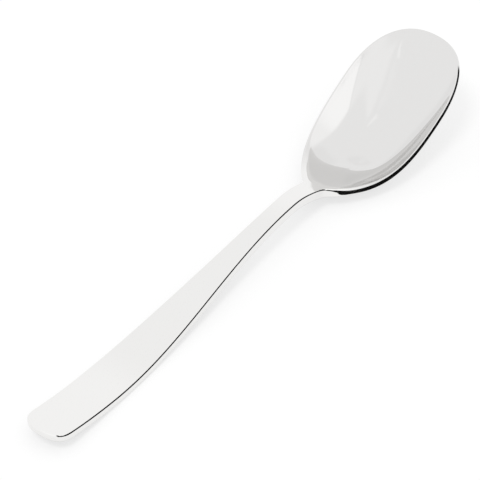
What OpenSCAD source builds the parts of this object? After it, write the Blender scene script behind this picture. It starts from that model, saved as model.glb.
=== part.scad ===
// Tablespoon in polished steel, lying face up as it does on a table.
// Lengths run along X from the tail of the handle to the tip of the bowl.
// Heights are above the flat on the back of the handle.

/* [Handle] */
// Length from the tail to the notch where the bowl begins
handle_len = 138.5; // [120:0.5:160]
// Width near the tail
tail_w = 15.6; // [12:0.2:22]
// Thickness from the tail to the resting flat
tail_t = 3; // [2:0.1:4]
// Length of the rounded tail end
tail_round = 6.5; // [4:0.5:10]
// Fullness of the tail's corners, where 2 is an ellipse
tail_fullness = 2.5; // [2:0.1:4]
// Distance from the tail to where the handle starts to narrow
taper_start = 27; // [15:1:45]
// Distance from the tail to the middle of the resting flat
rest_dist = 37; // [25:1:50]
// Length of the resting flat
rest_len = 10; // [6:1:16]
// Height that the tail curls up
tail_rise = 4.5; // [1:0.1:8]

/* [Neck] */
// Width at the waist
neck_w = 6.6; // [5:0.1:10]
// Thickness at the waist
neck_t = 4.1; // [2.8:0.1:5.5]
// Distance from the notch back to the waist
waist_back = 19; // [12:1:30]
// Distance from the notch back to the crown of the neck
crown_back = 15; // [10:1:22]
// Height of the crown of the neck
crown_h = 12.1; // [8:0.1:18]
// Length of the neck piece
neck_len = 38; // [30:1:50]

/* [Edge] */
// Lean of the bevelled front edge from upright
edge_lean = 38; // [25:1:50]
// Width of the bevel along handle and neck
edge_w = 0.7; // [0.4:0.05:1]
// Rounding of the bevel's upper corner along handle and neck
edge_r = 0.15; // [0.1:0.05:0.25]
// Rounding of the back edges of handle and neck
back_r = 0.8; // [0.3:0.1:1.2]

/* [Bowl] */
// Length from the notch to the tip
bowl_len = 66; // [55:0.1:80]
// Width across the rim
bowl_w = 37.8; // [32:0.2:46]
// Distance from the tip back to the widest point
wide_back = 24; // [20:0.5:32]
// Fullness of the tip, where 2 is an ellipse
tip_fullness = 2.25; // [2:0.05:3]
// Width at the notch
notch_w = 7.6; // [6:0.2:11]
// Angle at which the rim leaves the neck
flare_angle = 45.5; // [35:0.5:50]
// Softness of the notch
notch_blend = 0.9; // [0.2:0.1:1.2]
// Distance from the tip back to the deepest point
deep_back = 44; // [34:0.5:50]
// Angle at which the hollow falls from its heel
heel_angle = 26; // [15:1:40]
// Angle at which the hollow rises to the tip
front_angle = 23; // [15:1:40]
// Fullness of the hollow's cross section at its deepest point, where 2 is a parabola
bowl_fullness = 2.4; // [1.8:0.1:3]
// Fullness of the hollow's cross section at the tip
front_fullness = 5; // [2:0.2:6]
// Thickness of the bowl's floor
bowl_t = 1.2; // [1:0.1:2.2]
// Distance from the notch to the heel of the hollow
heel_land = 0.5; // [0.5:0.1:4]
// Width of the ellipse that closes the hollow at the heel
heel_w = 40; // [34:0.5:50]
// Width of the lip between the hollow and the rim's edge, at the heel
lip_w = 0.9; // [0.5:0.05:1.4]
// Width of the bevel along the rim, at the heel
rim_t = 1.6; // [1:0.1:2.2]
// Share of the lip's width that is left past the heel
lip_thin = 0.3; // [0.3:0.05:1]
// Share of the bevel's width that is left towards the tip
rim_thin = 0.8; // [0.5:0.05:1]
// Rounding of the rim's corners at the heel
rim_r = 0.3; // [0.1:0.05:0.5]
// Distance over which the neck's bevel becomes the rim's
rim_blend = 9; // [6:0.5:24]
// Distance from the notch to the lowest point of the rim
dip_ahead = 9.5; // [6:0.5:16]
// Height of the lowest point of the rim
dip_h = 6.2; // [4:0.1:9]
// Height of the rim at the tip
tip_h = 28.8; // [14:0.2:34]
// Slope of the rim at the tip
tip_slope = 17; // [5:1:28]
// Length of neck that belongs to the bowl piece
bowl_root = 3.5; // [2.5:0.5:6]

/* [Hidden] */
steel = [0.76, 0.76, 0.75];

// Places along the spoon
notch_x = handle_len;
tip_x = notch_x + bowl_len;
waist_x = notch_x - waist_back;
crown_x = notch_x - crown_back;
dip_x = notch_x + dip_ahead;
wide_x = tip_x - wide_back;
heel_x = notch_x + heel_land;
bowl_seam_x = notch_x - bowl_root;
neck_seam_x = bowl_seam_x - neck_len;
pole = [tip_x - deep_back, 0];

// Facets
stem_step = 2;
tail_veins = 16;
back_veins = 32;
front_veins = 24;
front_arc = 3;
back_arc = 3;
bevel_split = 0.6;
bevel_cut = 0.2;
hollow_rings = 16;
land_rings = 2;
land_crease = 0.4;
under_rings = 14;
face_shares = [0, 0.45, 0.88];
ring_bias = 0.8;
vein_bias = 1.25;
crisp = 0.02;

// Smooth blend from 0 at a to 1 at b
function ease(x, a, b) = let (u = min(max((x - a) / (b - a), 0), 1)) (1 - cos(180 * u)) / 2;
// Value between a and b
function mix(a, b, u) = a + (b - a) * u;
// Cubic between two places, with given heights and slopes
function cubic(x, x0, x1, z0, z1, s0, s1) =
    let (h = x1 - x0, u = (x - x0) / h)
    mix(z0, z1, u * u * (3 - 2 * u)) + h * u * (1 - u) * (s0 * (1 - u) - s1 * u);
// Zero below, rising one to one above, with a soft corner of half-width k
function hinge(d, k) = d <= -k ? 0 : d >= k ? d : (d + k) ^ 2 / (4 * k);
// Smaller of two values, with a soft corner
function soft_min(a, b, k) = a - hinge(a - b, k);
// Distance from the centre of a rounded oval to its edge, in direction d
function oval_reach(d, a, b, n) = 1 / ((abs(d.x) / a) ^ n + (abs(d.y) / b) ^ n) ^ (1 / n);
// Direction at unit length
function unit(v) = v / norm(v);

// Height of the front face and the rim, above the back at the resting flat
function face_z(x) =
    x < rest_dist ? tail_t + tail_rise * (1 - x / rest_dist) ^ 2 :
    x < crown_x ? cubic(x, rest_dist, crown_x, tail_t, crown_h, 0, 0) :
    x < dip_x ? cubic(x, crown_x, dip_x, crown_h, dip_h, 0, 0) :
    cubic(x, dip_x, tip_x, dip_h, tip_h, 0, tan(tip_slope));
// Height of the back before the resting flat is ground on it
function curved_back_z(x) = face_z(x) - mix(tail_t, neck_t, ease(x, rest_dist, waist_x));
// Height of the resting flat
flat_z = curved_back_z(rest_dist - rest_len / 2);
// Thickness of handle and neck
function stem_t(x) = face_z(x) - max(curved_back_z(x), flat_z);

// Half width of handle and neck
function stem_half(x) =
    x < waist_x ? mix(tail_w, neck_w, ease(x, taper_start, waist_x)) / 2 :
    mix(neck_w, notch_w, ((x - waist_x) / (notch_x - waist_x)) ^ 2) / 2;
// Half width of the back part of the bowl, carried on straight before the notch
function flare_half(x) =
    x < notch_x ? notch_w / 2 + tan(flare_angle) * (x - notch_x) :
    cubic(x, notch_x, wide_x, notch_w / 2, bowl_w / 2, tan(flare_angle), 0);
// Half width of the outline from the tail's shoulders to the widest point
function outline_half(x) = stem_half(x) + hinge(flare_half(x) - stem_half(x), notch_blend);

// Reach and drop of the bevel along handle and neck
bevel_reach = edge_w * sin(edge_lean);
bevel_drop = edge_w * cos(edge_lean);
// Step down a face that leans out from upright, as reach and drop
function slant(lean) = [sin(lean), cos(lean)];
// Length of bevel that a rounding of radius r takes at its upper corner
function corner_len(r) = r * tan((90 - edge_lean) / 2);
// Edge profile from front face to back, as pairs of reach past the front corner and drop:
// a bevel of width w, then a side of width s with its own lean, and a rounding to the back
function edge_profile(r, w, s, lean, rb) =
    let (start = corner_len(r), cut = bevel_cut * min(w - start, s - rb))
    let (bevel = slant(edge_lean), side = slant(lean), low = w * bevel)
    let (middle = low + (s - rb) * side - rb * [side.y, -side.x])
    concat(
        [for (i = [0:front_arc]) let (a = mix(90, edge_lean, i / front_arc))
            [r * cos(a) - start, r - r * sin(a)]],
        [low - cut * bevel, low + cut * side],
        [for (i = [0:back_arc]) let (a = lean - 90 * i / back_arc) middle + rb * [cos(a), -sin(a)]]);

// Half section of handle or neck, from the middle of the front to the middle of the back
function half_section(half, t) =
    let (edge = edge_profile(edge_r, edge_w, t - bevel_drop, 0, back_r), face = half - bevel_reach)
    let (front = face + edge[0].x, back = face + edge[len(edge) - 1].x)
    concat(
        [for (u = face_shares) [front * u, 0]],
        [for (e = edge) [face + e.x, e.y]],
        [for (i = [len(face_shares) - 1:-1:0]) [back * face_shares[i], t]]);
// The half section set in direction d from the middle line
function stem_vein(x, d, half) =
    [for (s = half_section(half, stem_t(x))) let (px = x + d.x * s.x)
        [px, d.y * s.x, face_z(px) - s.y]];
section_n = len(half_section(tail_w / 2, tail_t));
ring_n = 2 * section_n - 2;
// Full section, down the right half and up the left half
function stem_ring(x) =
    let (right = stem_vein(x, [0, -1], outline_half(x)))
    let (left = stem_vein(x, [0, 1], outline_half(x)))
    concat(right, [for (k = [section_n - 2:-1:1]) left[k]]);

// Middle of the full section
function stem_middle(x) = [x, 0, face_z(x) - stem_t(x) / 2];

// Evenly spaced places from a to b, about one step apart
function places(a, b) = let (n = ceil((b - a) / stem_step)) [for (i = [0:n]) mix(a, b, i / n)];
// Two triangles of the patch with corners a, b, c and d
function patch(a, b, c, d) = [[a, b, c], [a, c, d]];
// Triangles between closed rings of n points, ring after ring from index 0
function tube(rings, n) =
    [for (r = [0:rings - 2], i = [0:n - 1]) let (j = (i + 1) % n)
        each patch(r * n + i, (r + 1) * n + i, (r + 1) * n + j, r * n + j)];

// Triangles that close the ring which starts at index a, round a middle point
function cap(a, middle) = [for (i = [0:ring_n - 1]) [middle, a + i, a + (i + 1) % ring_n]];

// Places of the handle's rings, with both ends of the resting flat among them
rest_a = rest_dist - rest_len / 2;
rest_b = rest_dist + rest_len / 2;
handle_places = concat(places(tail_round, rest_a), places(rest_a + stem_step, rest_b - stem_step),
    places(rest_b, neck_seam_x));

module handle() {
    rings = [for (x = handle_places) stem_ring(x)];
    fan = [for (i = [1:tail_veins - 1]) let (a = 180 * i / tail_veins, d = [-sin(a), -cos(a)])
        stem_vein(tail_round, d, oval_reach(d, tail_round, outline_half(tail_round), tail_fullness))];
    fan_at = len(rings) * ring_n;
    // Index of point k of the tail's vein v, whose first and last veins are the first ring
    function at(v, k) =
        k == 0 || k == section_n - 1 || v == 0 ? k :
        v == tail_veins ? ring_n - k : fan_at + (v - 1) * section_n + k;
    tail = [for (v = [0:tail_veins - 1], k = [0:section_n - 2])
        let (p = patch(at(v, k), at(v, k + 1), at(v + 1, k + 1), at(v + 1, k)))
        each k == 0 ? [p[0]] : k == section_n - 2 ? [p[1]] : p];
    skin = concat([for (r = rings) each r], [for (v = fan) each v]);
    end = [for (t = cap((len(rings) - 1) * ring_n, len(skin))) [t[0], t[2], t[1]]];
    color(steel)
    polyhedron(concat(skin, [stem_middle(neck_seam_x)]), concat(tube(len(rings), ring_n), tail, end));
}

module neck() {
    rings = [for (x = places(neck_seam_x, bowl_seam_x)) stem_ring(x)];
    skin = [for (r = rings) each r];
    middles = [for (x = [neck_seam_x, bowl_seam_x]) stem_middle(x)];
    start = cap(0, len(skin));
    end = [for (t = cap((len(rings) - 1) * ring_n, len(skin) + 1)) [t[0], t[2], t[1]]];
    color(steel)
    polyhedron(concat(skin, middles), concat(tube(len(rings), ring_n), start, end));
}

// Left edge of the bowl piece from the neck seam to the tip
left_edge = concat(
    [for (i = [0:back_veins - 1]) let (x = mix(bowl_seam_x, wide_x, (i / back_veins) ^ vein_bias))
        [x, outline_half(x)]],
    [for (i = [0:front_veins]) let (a = 90 * i / front_veins, n = 2 / tip_fullness)
        [wide_x + wide_back * sin(a) ^ n, bowl_w / 2 * cos(a) ^ n]]);
left_n = len(left_edge);
// Outward direction of the left edge, square to the seam at its start and ahead at the tip
left_out = [for (i = [0:left_n - 1])
    let (t = left_edge[min(i + 1, left_n - 1)] - left_edge[max(i - 1, 0)])
    i == 0 ? [0, 1] : i == left_n - 1 ? [1, 0] : unit([-t.y, t.x])];
// Corners of the edge all round the bowl piece, and the directions in which its edge stands out
seam_half = outline_half(bowl_seam_x);
seam_shares = concat([for (i = [len(face_shares) - 1:-1:1]) -face_shares[i]], face_shares);
corners = concat(left_edge, [for (i = [left_n - 2:-1:0]) [left_edge[i].x, -left_edge[i].y]],
    [for (s = seam_shares) [bowl_seam_x, s * seam_half]]);
outs = concat(left_out, [for (i = [left_n - 2:-1:0]) [left_out[i].x, -left_out[i].y]],
    [for (s = seam_shares) [0, s]]);
bowl_n = len(corners);

// Share of rim, as against neck, in the edge at x
function rim_share(x) = ease(x, bowl_seam_x, notch_x + rim_blend);
// Shares of the heel's lip and bevel that are left at x
function lip_scale(x) = mix(1, lip_thin, ease(x, dip_x, pole.x));
function rim_scale(x) = mix(1, rim_thin, ease(x, dip_x, wide_x));
// Part of the rim's bevel above its middle points, at the heel
rim_w = mix(corner_len(rim_r), rim_t - rim_r, bevel_split);
// Edge of the bowl piece at corner i
function bowl_edge(i) =
    let (x = corners[i].x, u = rim_share(x), k = rim_scale(x))
    let (r = mix(edge_r, rim_r * k, u), rb = mix(back_r, rim_r * k, u))
    let (w = mix(edge_w, rim_w * k, u), s = mix(stem_t(x) - bevel_drop, (rim_t - rim_w) * k, u))
    [for (e = edge_profile(r, w, s, edge_lean * u, rb))
        let (p = corners[i] + outs[i] * (e.x - bevel_reach * (1 - u))) [p.x, p.y, e.y]];
// Rim of the hollow at corner i: the lip inside the edge, closed at the heel by an ellipse
function hollow_rim(i) =
    let (inner = corners[i] - outs[i] * lip_w * lip_scale(corners[i].x) - pole, d = unit(inner))
    let (heel = oval_reach(d, pole.x - heel_x, heel_w / 2, 2))
    pole + d * (d.x < 0 ? soft_min(norm(inner), heel, lip_w) : norm(inner));
// Rim of the hollow all round, and its left half from the middle of the heel to the tip
hollow_rims = [for (i = [0:bowl_n - 1]) hollow_rim(i)];
hollow_edge = [for (i = [-len(face_shares):left_n - 1]) hollow_rims[(i + bowl_n) % bowl_n]];
hollow_front = hollow_edge[len(hollow_edge) - 1].x;
// Lower corner of the left edge from the neck seam to the tip, as half widths and as drops
back_corners = [for (i = [0:left_n - 1]) let (e = bowl_edge(i)) e[len(e) - 1]];
back_edge = [for (c = back_corners) [c.x, c.y]];
back_drops = [for (c = back_corners) [c.x, c.z]];
back_front = back_corners[left_n - 1].x;
// Height of the hollow's floor at its deepest point, where the back touches the table
floor_z = flat_z + bowl_t;
// Slope of the neck's back at the seam
seam_slope = curved_back_z(bowl_seam_x) - curved_back_z(bowl_seam_x - 1);
// Middle line of the hollow, from its heel over its deepest point to its tip
function hollow_middle_z(x) =
    x < pole.x ? cubic(x, heel_x, pole.x, face_z(heel_x), floor_z, -tan(heel_angle), 0) :
    cubic(x, pole.x, hollow_front, floor_z, face_z(hollow_front), 0, tan(front_angle));
// Middle line of the back, from the neck seam over its lowest point to the tip
function back_middle_z(x) =
    x < pole.x ? cubic(x, bowl_seam_x, pole.x, curved_back_z(bowl_seam_x), flat_z, seam_slope, 0) :
    cubic(x, pole.x, back_front, flat_z, face_z(back_front) - lookup(back_front, back_drops),
        0, tan(front_angle));
// Fullness of the bowl's cross section at x
function fullness(x) = mix(bowl_fullness, front_fullness, ease(x, pole.x, tip_x));
// Share of an edge's height, as against the middle line's, at point p between its half widths
function edge_share(p, edge) = (abs(p.y) / max(lookup(p.x, edge), crisp)) ^ fullness(p.x);
// Drop of the hollow and of the back below the rim's height at point p
function hollow_drop(p) = mix(face_z(p.x) - hollow_middle_z(p.x), 0, edge_share(p, hollow_edge));
function back_drop(p) =
    mix(face_z(p.x) - back_middle_z(p.x), lookup(p.x, back_drops), edge_share(p, back_edge));
// Vein i of the bowl piece, from the middle of the hollow over the rim to the middle of the back,
// as points with a drop below the rim's height
function bowl_vein(i) =
    let (rim = hollow_rims[i], edge = bowl_edge(i), last = edge[len(edge) - 1])
    let (start = [edge[0].x, edge[0].y], end = [last.x, last.y])
    let (crease = min(1 / (land_rings + 1), land_crease / norm(start - rim)))
    concat(
        [for (k = [1:hollow_rings]) let (u = (k / hollow_rings) ^ ring_bias, p = mix(pole, rim, u))
            [p.x, p.y, hollow_drop(p)]],
        [for (k = [1:land_rings]) let (p = mix(rim, start, mix(crease, 1, (k - 1) / land_rings)))
            [p.x, p.y, 0]],
        edge,
        [for (k = [1:under_rings - 1]) let (p = mix(end, pole, (k / under_rings) ^ (1 / ring_bias)))
            [p.x, p.y, back_drop(p)]]);

// Veins and skin of the bowl piece
bowl_veins = [for (i = [0:bowl_n - 1]) bowl_vein(i)];
bowl_rings = len(bowl_veins[0]);
bowl_skin = [for (r = [0:bowl_rings - 1], v = bowl_veins) [v[r].x, v[r].y, face_z(v[r].x) - v[r].z]];

module bowl() {
    top = len(bowl_skin);
    under = top + 1;
    last = (bowl_rings - 1) * bowl_n;
    caps = [for (i = [0:bowl_n - 1]) let (j = (i + 1) % bowl_n)
        each [[top, i, j], [under, last + j, last + i]]];
    middle = [for (z = [floor_z, flat_z]) [pole.x, pole.y, z]];
    color(steel)
    polyhedron(concat(bowl_skin, middle), concat(tube(bowl_rings, bowl_n), caps));
}

// Stand the spoon on the lower of its resting flat and its bowl, with its middle over the origin
bowl_front = max([for (p = bowl_skin) p.x]);
bowl_floor = min([for (p = bowl_skin) p.z]);
module place() translate([-bowl_front / 2, 0, -min(flat_z, bowl_floor)]) children();

place() handle();
place() neck();
place() bowl();
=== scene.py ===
"""Tablespoon in mirror-polished steel, lying face up on a white table."""

import math

import bpy
from mathutils import Euler, Matrix, Vector


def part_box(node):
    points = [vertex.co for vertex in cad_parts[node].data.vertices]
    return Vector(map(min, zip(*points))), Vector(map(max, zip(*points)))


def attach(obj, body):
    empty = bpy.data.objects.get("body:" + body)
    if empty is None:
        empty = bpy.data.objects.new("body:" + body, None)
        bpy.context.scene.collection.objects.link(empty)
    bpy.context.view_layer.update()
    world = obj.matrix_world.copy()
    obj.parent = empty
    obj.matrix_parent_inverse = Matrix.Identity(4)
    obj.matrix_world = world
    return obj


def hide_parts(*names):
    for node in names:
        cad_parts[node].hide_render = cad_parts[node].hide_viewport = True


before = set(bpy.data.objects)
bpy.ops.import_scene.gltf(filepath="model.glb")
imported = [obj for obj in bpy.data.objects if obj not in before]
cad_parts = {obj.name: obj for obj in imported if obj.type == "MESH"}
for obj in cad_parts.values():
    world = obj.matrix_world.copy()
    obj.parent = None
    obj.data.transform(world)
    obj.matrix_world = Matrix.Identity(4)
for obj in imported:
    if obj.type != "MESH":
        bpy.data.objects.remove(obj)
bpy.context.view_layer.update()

# Camera, as a place in the part's frame, its turn in degrees, and its lens
CAMERA_PLACE = (-0.556185, -0.421269, 0.662423)
CAMERA_HEADING = 52.653
CAMERA_DIP = 43.098
CAMERA_ROLL = 0.581
FOCAL_PIXELS = 3000
FRAME_PIXELS = 480
SENSOR = 36

# Pieces in order from the tail to the tip, and the steel that they are made of
PIECES = ("handle", "neck", "bowl")
BODY = "root"
STEEL_SLOT = "polished_steel"

# Tones of the steel: outside, and painted shade in the hollow and on sides that look down (a darker tone
# for the darker studio and shadowed table they mirror), and darkened in scratches
OUTSIDE_COLOUR = (0.850, 0.845, 0.836, 1)
HOLLOW_PAINTED_SHADE = (0.745, 0.740, 0.734, 1)
SCRATCH_SHADE = (0.90, 0.90, 0.90, 1)
# Upward part of a side's normal where the painted shade sets in, and where it has gone from the
# underside
PAINTED_SHADE_START = (-0.05, -0.30)
PAINTED_SHADE_END = (-0.9, -0.6)
# Roughness of the polish, and what smears, polishing lines and scratches add to it
POLISH = 0.045
SMEAR_GAIN = 0.035
LINE_GAIN = 0.020
SCRATCH_GAIN = 0.100
# Grain of the finish: cycles per metre along and across the spoon, fineness, and level where it sets in
SMEAR_SCALE = (70, 70, 70)
SMEAR_DETAIL = 4
SMEAR_RISE = (0.45, 0.75)
LINE_SCALE = (45, 2600, 2600)
LINE_DETAIL = 2
SCRATCH_SCALE = (220, 3800, 3800)
SCRATCH_DETAIL = 3
SCRATCH_RISE = (0.66, 0.74)
# Share of scratches up to a height over the table, in the hollow and everywhere
SCUFF_TOP = 0.0012
TABLE_SCUFF = 0.8
HOLLOW_SCUFF = 0.25
PLAIN_SCUFF = 0.06
# Relief of the polishing lines and scratches
RELIEF_STRENGTH = 0.02
RELIEF_HEIGHT = 0.00002

# Studio as the steel mirrors it: its level, and panels by heading, spread, foot, top, softness and gain
STUDIO_LEVEL = 1.04
STUDIO_PANELS = {
    "behind_camera": (-163, 48, 30, 61, 3, 0.055),
    "streak_foot": (143.8, 1.4, 47.6, 52, 1.0, 0.025),
    "streak": (140.6, 1.3, 53, 62, 1.0, 0.10),
    "beyond_neck": (45, 18, 46, 60, 5, -0.04),
    "beyond_bowl": (-6, 18, 18, 42, 7, -0.04),
    "beyond_rim": (80, 18, 2, 28, 5, -0.05),
}
# Broad window on the right, cut off by a wide round edge about one direction, with its bright half
WINDOW_HEADING = -64
WINDOW_SPREAD = 48
WINDOW_SOFT = 2
WINDOW_EDGE = (68.5, 49.8)
WINDOW_REACH = (74, 68)
WINDOW_GAIN = 0.10
BRIGHT_HEADING = -90
BRIGHT_SPREAD = 24
BRIGHT_SOFT = 12
BRIGHT_GAIN = 0.08
# Dark side of the studio, under an upper edge of two slopes and over a soft foot
DARK_HEADING = -76
DARK_SPREAD = 54
DARK_SOFT = 6
DARK_SLOPES = ((0.20, 0.475, 0.455), (0.55, 0.502, 0.491))
DARK_FOOT = (0.02, 0.06)
DARK_SHARE = 0.995
# Level that the camera sees past the table, and a number that keeps a root above 0 straight overhead
BACKGROUND_LEVEL = 1.0
JUST_OVER_ONE = 1.0001
# Soft lamp behind the tail, by its heading, height and spread in degrees, and the fill from all round
LAMP_HEADING = -175
LAMP_HEIGHT = 63
LAMP_SPREAD = 16
LAMP_STRENGTH = 0.65
FILL = 0.65

# Table, with a glow of its own that keeps it white round the shadow
TABLE_RADIUS = 2.0
TABLE_SIDES = 96
TABLE_COLOUR = (0.90, 0.90, 0.90, 1)
TABLE_GLOW = 1.235
TABLE_GLOW_SHARE = 0.56
WHITE = (1, 1, 1, 1)
BLACK = (0, 0, 0, 1)

# Skin of the spoon: its merging and smoothing, the fold and skew of facets that pair up, and its seams
MERGE_DISTANCE = 2e-6
SMOOTH_LEVELS = 2
QUAD_FOLD = 60
QUAD_SKEW = 180
SEAM_REACH = 1e-5
SQUARE_ON = 0.99
SKIN_NORMAL = "skin_normal"
# Hollow of the bowl, whose mark places its painted shade: its middle, the step at which the rim's height
# is read, and the depths of the mark's fade
HOLLOW_SHADE_AND_SCUFF_MARK = "hollow"
HOLLOW_MIDDLE = (0.060, 0.0)
RIM_STEP = 0.001
HOLLOW_MARGIN = 0.0003
HOLLOW_FADE = 0.0003
# Stretch where the mark, and with it the painted shade, spreads to all that faces up, and what counts as
# facing up and outwards
HEEL_REACH = (0.040, 0.050)
FACING_UP = 0.25
FACING_OUT = 0.2

# Sockets of a Mix node, by number because their names repeat
MIX_SHARE = 0
VALUE_LOW = 2
VALUE_HIGH = 3
VALUE_OUT = 0
COLOUR_LOW = 6
COLOUR_HIGH = 7
COLOUR_OUT = 2


class Wire:
    """A socket of a node tree, with arithmetic that adds Math nodes."""

    def __init__(self, tree, socket):
        self.tree = tree
        self.socket = socket

    def math(self, operation, *others):
        values = dict(enumerate((self, *others)))
        return self.tree.add("ShaderNodeMath", {"operation": operation}, values).out(0)

    def __add__(self, other):
        return self.math("ADD", other)

    __radd__ = __add__

    def __mul__(self, other):
        return self.math("MULTIPLY", other)

    __rmul__ = __mul__

    def __sub__(self, other):
        return self.math("SUBTRACT", other)

    def __rsub__(self, other):
        return (self * -1).math("ADD", other)

    def rise(self, low, high):
        """Smooth step from 0 at low to 1 at high, or the other way round where high is lower."""
        start, end = sorted((low, high))
        settings = {"interpolation_type": "SMOOTHSTEP", "clamp": True}
        values = {"Value": self, "From Min": start, "From Max": end}
        values["To Min"] = 0 if low < high else 1
        values["To Max"] = 1 if low < high else 0
        return self.tree.add("ShaderNodeMapRange", settings, values).out("Result")


class Made:
    """A node that was added to a tree."""

    def __init__(self, tree, node):
        self.tree = tree
        self.node = node

    def out(self, name):
        return Wire(self.tree, self.node.outputs[name])


class Tree:
    """A node tree that nodes are added to by type, settings and socket values."""

    def __init__(self, owner):
        owner.use_nodes = True
        self.nodes = owner.node_tree.nodes
        self.links = owner.node_tree.links
        self.nodes.clear()

    def add(self, kind, settings=None, values=None):
        node = self.nodes.new(kind)
        for name, value in (settings or {}).items():
            setattr(node, name, value)
        for name, value in (values or {}).items():
            if isinstance(value, Wire):
                self.links.new(value.socket, node.inputs[name])
            else:
                node.inputs[name].default_value = value
        return Made(self, node)

    def mix(self, share, low, high, blend="MIX"):
        """Colour between low and high, or low blended with a share of high."""
        settings = {"data_type": "RGBA", "blend_type": blend}
        values = {MIX_SHARE: share, COLOUR_LOW: low, COLOUR_HIGH: high}
        return self.add("ShaderNodeMix", settings, values).out(COLOUR_OUT)

    def choose(self, share, low, high):
        """Value between low and high."""
        values = {MIX_SHARE: share, VALUE_LOW: low, VALUE_HIGH: high}
        return self.add("ShaderNodeMix", {"data_type": "FLOAT"}, values).out(VALUE_OUT)


def deselect():
    bpy.ops.object.select_all(action="DESELECT")


def only(obj):
    """Make obj the one selected and active object."""
    deselect()
    obj.select_set(True)
    bpy.context.view_layer.objects.active = obj


def link(obj):
    """Put obj in the scene."""
    bpy.context.scene.collection.objects.link(obj)


def past_table(path):
    """1 for a ray that the table has scattered before, and 0 for any other."""
    return path.out("Diffuse Depth").math("MINIMUM", 1)


def polished_steel():
    """Mirror polish with smears, fine polishing lines and the scratches of use, with painted shade in
    the hollow and on sides that look down.
    """
    material = bpy.data.materials.new(STEEL_SLOT)
    tree = Tree(material)
    coordinates = tree.add("ShaderNodeTexCoord")
    place = coordinates.out("Object")
    height = tree.add("ShaderNodeSeparateXYZ", values={"Vector": place}).out("Z")
    facing = tree.add("ShaderNodeSeparateXYZ", values={"Vector": coordinates.out("Normal")}).out("Z")
    # Painted shade on sides that look down, standing in for the shadowed table that they mirror
    downward_painted_shade = facing.rise(*PAINTED_SHADE_START) * facing.rise(*PAINTED_SHADE_END)
    # Mark of the hollow, which places its painted shade and part of its scratches
    hollow = tree.add("ShaderNodeAttribute", {"attribute_name": HOLLOW_SHADE_AND_SCUFF_MARK}).out("Fac")

    def grain(scale, detail):
        """Noise on the spoon, with its own scale along each axis."""
        stretched = tree.add("ShaderNodeMapping", values={"Vector": place, "Scale": scale}).out("Vector")
        values = {"Vector": stretched, "Scale": 1.0, "Detail": detail}
        return tree.add("ShaderNodeTexNoise", values=values).out("Fac")

    smear = grain(SMEAR_SCALE, SMEAR_DETAIL).rise(*SMEAR_RISE)
    lines = grain(LINE_SCALE, LINE_DETAIL)
    scuffed = height.rise(SCUFF_TOP, 0) * TABLE_SCUFF + hollow * HOLLOW_SCUFF + PLAIN_SCUFF
    scuffed = scuffed.math("MINIMUM", 1)
    scratch = grain(SCRATCH_SCALE, SCRATCH_DETAIL).rise(*SCRATCH_RISE) * scuffed
    # Painted shade: the hollow and the sides that look down take the darker tone
    steel = tree.mix(hollow.math("MAXIMUM", downward_painted_shade), OUTSIDE_COLOUR, HOLLOW_PAINTED_SHADE)
    worn_and_shaded = tree.mix(scratch, steel, SCRATCH_SHADE, "MULTIPLY")
    rough = smear * SMEAR_GAIN + lines * LINE_GAIN + scratch * SCRATCH_GAIN + POLISH
    relief = tree.add("ShaderNodeBump", values={
        "Strength": RELIEF_STRENGTH, "Distance": RELIEF_HEIGHT, "Height": lines - scratch}).out("Normal")
    shader = tree.add("ShaderNodeBsdfPrincipled", values={
        "Base Color": worn_and_shaded, "Metallic": 1.0, "Roughness": rough, "Normal": relief})
    tree.add("ShaderNodeOutputMaterial", values={"Surface": shader.out("BSDF")})
    return material


def mark_hollow(part):
    """Mark what faces up ahead of the heel, and at the heel only what lies below the rim inside it; the
    mark places the painted shade of the hollow and part of its scratches.
    """
    mesh = part.data
    rim = {}
    for vertex in mesh.vertices:
        slot = round(vertex.co.x / RIM_STEP)
        rim[slot] = max(rim.get(slot, 0), vertex.co.z)
    middle = Vector((*HOLLOW_MIDDLE, 0))
    heel_start, heel_end = HEEL_REACH
    mark = mesh.attributes.new(HOLLOW_SHADE_AND_SCUFF_MARK, "FLOAT", "POINT")
    for vertex, item in zip(mesh.vertices, mark.data):
        depth = rim[round(vertex.co.x / RIM_STEP)] - vertex.co.z
        away = (vertex.co - middle).to_2d().normalized()
        inside = vertex.normal.z > FACING_UP and vertex.normal.to_2d().dot(away) < FACING_OUT
        item.value = min(max(depth - HOLLOW_MARGIN, 0) / HOLLOW_FADE, 1) if inside else 0
        if vertex.normal.z > FACING_UP:
            ahead = (vertex.co.x - heel_start) / (heel_end - heel_start)
            item.value = max(item.value, min(ahead, 1))


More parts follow.
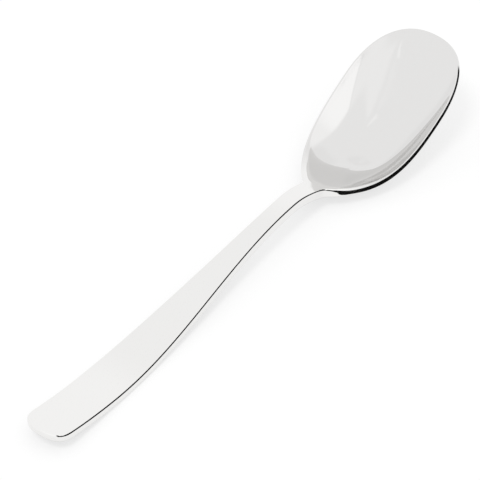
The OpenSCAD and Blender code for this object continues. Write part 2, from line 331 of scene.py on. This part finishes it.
def spoon_skin():
    """One unbroken, finely smoothed skin over copies of the three solids."""
    copies = []
    for name in PIECES:
        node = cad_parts[name]
        copy = node.copy()
        copy.data = node.data.copy()
        copy.parent = None
        copy.data.materials.clear()
        copy.data.materials.append(bpy.data.materials.new(name))
        link(copy)
        copies.append(copy)
    seams = [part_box(name)[1].x for name in PIECES[:-1]]
    only(copies[0])
    for copy in copies:
        copy.select_set(True)
    bpy.ops.object.join()
    skin = bpy.context.view_layer.objects.active
    bpy.ops.object.mode_set(mode="EDIT")
    bpy.ops.mesh.select_all(action="SELECT")
    bpy.ops.mesh.remove_doubles(threshold=MERGE_DISTANCE)
    bpy.ops.mesh.select_all(action="DESELECT")
    bpy.ops.object.mode_set(mode="OBJECT")
    for face in skin.data.polygons:
        at_seam = any(abs(face.center.x - x) < SEAM_REACH for x in seams)
        face.select = at_seam and abs(face.normal.x) > SQUARE_ON
    bpy.ops.object.mode_set(mode="EDIT")
    bpy.ops.mesh.select_mode(type="FACE")
    bpy.ops.mesh.delete(type="FACE")
    bpy.ops.mesh.select_all(action="SELECT")
    bpy.ops.mesh.tris_convert_to_quads(
        face_threshold=math.radians(QUAD_FOLD), shape_threshold=math.radians(QUAD_SKEW))
    bpy.ops.mesh.faces_shade_smooth()
    bpy.ops.object.mode_set(mode="OBJECT")
    smooth = skin.modifiers.new("smooth", "SUBSURF")
    smooth.levels = SMOOTH_LEVELS
    smooth.render_levels = SMOOTH_LEVELS
    bpy.ops.object.modifier_apply(modifier=smooth.name)
    return skin


def spoon_pieces(steel):
    """The skin parted again at the seams, with each piece closed and shaded as the whole skin is."""
    skin = spoon_skin()
    mesh = skin.data
    kept = mesh.attributes.new(SKIN_NORMAL, "FLOAT_VECTOR", "POINT")
    for vertex, item in zip(mesh.vertices, kept.data):
        item.vector = vertex.normal
    only(skin)
    bpy.ops.object.mode_set(mode="EDIT")
    bpy.ops.mesh.select_all(action="SELECT")
    bpy.ops.mesh.separate(type="MATERIAL")
    bpy.ops.object.mode_set(mode="OBJECT")
    parts = list(bpy.context.selected_objects)
    for part in parts:
        name = part.data.materials[0].name.split(".")[0]
        only(part)
        bpy.ops.object.mode_set(mode="EDIT")
        bpy.ops.mesh.select_mode(type="EDGE")
        bpy.ops.mesh.select_all(action="DESELECT")
        bpy.ops.mesh.select_non_manifold(extend=False)
        bpy.ops.mesh.fill_holes(sides=0)
        bpy.ops.object.mode_set(mode="OBJECT")
        part.name = "polished_" + name
        part.data.materials.clear()
        part.data.materials.append(steel)
        normals = [tuple(item.vector) for item in part.data.attributes[SKIN_NORMAL].data]
        part.data.normals_split_custom_set_from_vertices(normals)
        part.data.attributes.remove(part.data.attributes[SKIN_NORMAL])
        if name == "bowl":
            mark_hollow(part)
        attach(part, BODY)
        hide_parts(name)


class Sky:
    """The direction of a ray that reaches the studio, as wires of a tree."""

    def __init__(self, tree):
        direction = tree.add("ShaderNodeTexCoord").out("Generated")
        parts = tree.add("ShaderNodeSeparateXYZ", values={"Vector": direction})
        self.x = parts.out("X")
        self.y = parts.out("Y")
        self.z = parts.out("Z")
        self.level = (JUST_OVER_ONE - self.z * self.z).math("SQRT")

    def facing(self, heading, spread, soft):
        """1 within spread of a heading, given in degrees, with soft sides."""
        turn = math.radians(heading)
        along = self.x * math.cos(turn) + self.y * math.sin(turn)
        outer = math.cos(math.radians(spread + soft))
        inner = math.cos(math.radians(spread - soft))
        return along.math("DIVIDE", self.level).rise(outer, inner)

    def between(self, low, high, soft):
        """1 between two heights, given in degrees, with soft edges."""
        foot, sill, lintel, top = (math.sin(math.radians(a)) for a in (
            low - soft, low + soft, high - soft, high + soft))
        return self.z.rise(foot, sill) * self.z.rise(top, lintel)

    def round_patch(self, heading, height, spread):
        """1 round a direction, fading between two angles from it, all in degrees."""
        turn, climb = math.radians(heading), math.radians(height)
        level = math.cos(climb)
        along = self.x * (level * math.cos(turn)) + self.y * (level * math.sin(turn))
        near = along + self.z * math.sin(climb)
        return near.rise(*(math.cos(math.radians(a)) for a in spread))


def studio_world():
    """White studio, which the steel mirrors with its panels, its window and its dark side."""
    world = bpy.data.worlds.new("studio")
    bpy.context.scene.world = world
    tree = Tree(world)
    sky = Sky(tree)
    mirrored = STUDIO_LEVEL
    for heading, spread, low, high, soft, gain in STUDIO_PANELS.values():
        mirrored = sky.facing(heading, spread, soft) * sky.between(low, high, soft) * gain + mirrored
    beyond_edge = sky.round_patch(*WINDOW_EDGE, WINDOW_REACH)
    window = sky.facing(WINDOW_HEADING, WINDOW_SPREAD, WINDOW_SOFT) * (1 - beyond_edge)
    bright = sky.facing(BRIGHT_HEADING, BRIGHT_SPREAD, BRIGHT_SOFT) * BRIGHT_GAIN + WINDOW_GAIN
    mirrored = mirrored + window * bright
    under = [(sky.z + sky.x * slope).rise(*edge) for slope, *edge in DARK_SLOPES]
    below = under[0].math("MAXIMUM", under[1]) * sky.z.rise(*DARK_FOOT)
    dark = sky.facing(DARK_HEADING, DARK_SPREAD, DARK_SOFT) * below
    mirrored = mirrored * (1 - dark * DARK_SHARE)
    path = tree.add("ShaderNodeLightPath")
    in_steel = tree.choose(past_table(path), mirrored, FILL)
    direct = tree.choose(path.out("Is Camera Ray"), FILL, BACKGROUND_LEVEL)
    seen = tree.choose(path.out("Is Glossy Ray"), direct, in_steel)
    shader = tree.add("ShaderNodeBackground", values={"Color": WHITE, "Strength": seen})
    tree.add("ShaderNodeOutputWorld", values={"Surface": shader.out("Background")})


def soft_lamp():
    """Sun with soft shadows, which the steel doesn't mirror."""
    data = bpy.data.lights.new("lamp", "SUN")
    data.angle = math.radians(LAMP_SPREAD)
    data.energy = LAMP_STRENGTH
    lamp = bpy.data.objects.new("lamp", data)
    lamp.rotation_euler = (0, math.radians(90 - LAMP_HEIGHT), math.radians(LAMP_HEADING))
    lamp.visible_glossy = False
    link(lamp)


def white_table():
    """Round table top, whose glow lights nothing that the table scatters."""
    deselect()
    bpy.ops.mesh.primitive_circle_add(
        vertices=TABLE_SIDES, radius=TABLE_RADIUS, fill_type="NGON", location=(0, 0, 0))
    table = bpy.context.view_layer.objects.active
    table.name = "table"
    material = bpy.data.materials.new("white_table")
    tree = Tree(material)
    matt = tree.add("ShaderNodeBsdfDiffuse", values={"Color": TABLE_COLOUR})
    path = tree.add("ShaderNodeLightPath")
    white = tree.mix(past_table(path), WHITE, BLACK)
    glow = tree.add("ShaderNodeEmission", values={"Color": white, "Strength": TABLE_GLOW})
    shared = (TABLE_GLOW_SHARE, matt.out("BSDF"), glow.out("Emission"))
    both = tree.add("ShaderNodeMixShader", values=dict(enumerate(shared)))
    tree.add("ShaderNodeOutputMaterial", values={"Surface": both.out("Shader")})
    table.data.materials.append(material)


def photo_camera():
    """Camera at the photo's viewing angle."""
    data = bpy.data.cameras.new("camera")
    data.sensor_width = SENSOR
    data.lens = FOCAL_PIXELS * SENSOR / FRAME_PIXELS
    camera = bpy.data.objects.new("camera", data)
    camera.location = CAMERA_PLACE
    level = Euler((math.radians(90 - CAMERA_DIP), 0, math.radians(-CAMERA_HEADING))).to_matrix()
    camera.rotation_euler = (level @ Matrix.Rotation(math.radians(CAMERA_ROLL), 3, "Z")).to_euler()
    link(camera)
    bpy.context.scene.camera = camera


bpy.context.scene.view_settings.view_transform = "Standard"
photo_camera()
studio_world()
soft_lamp()
white_table()
spoon_pieces(polished_steel())
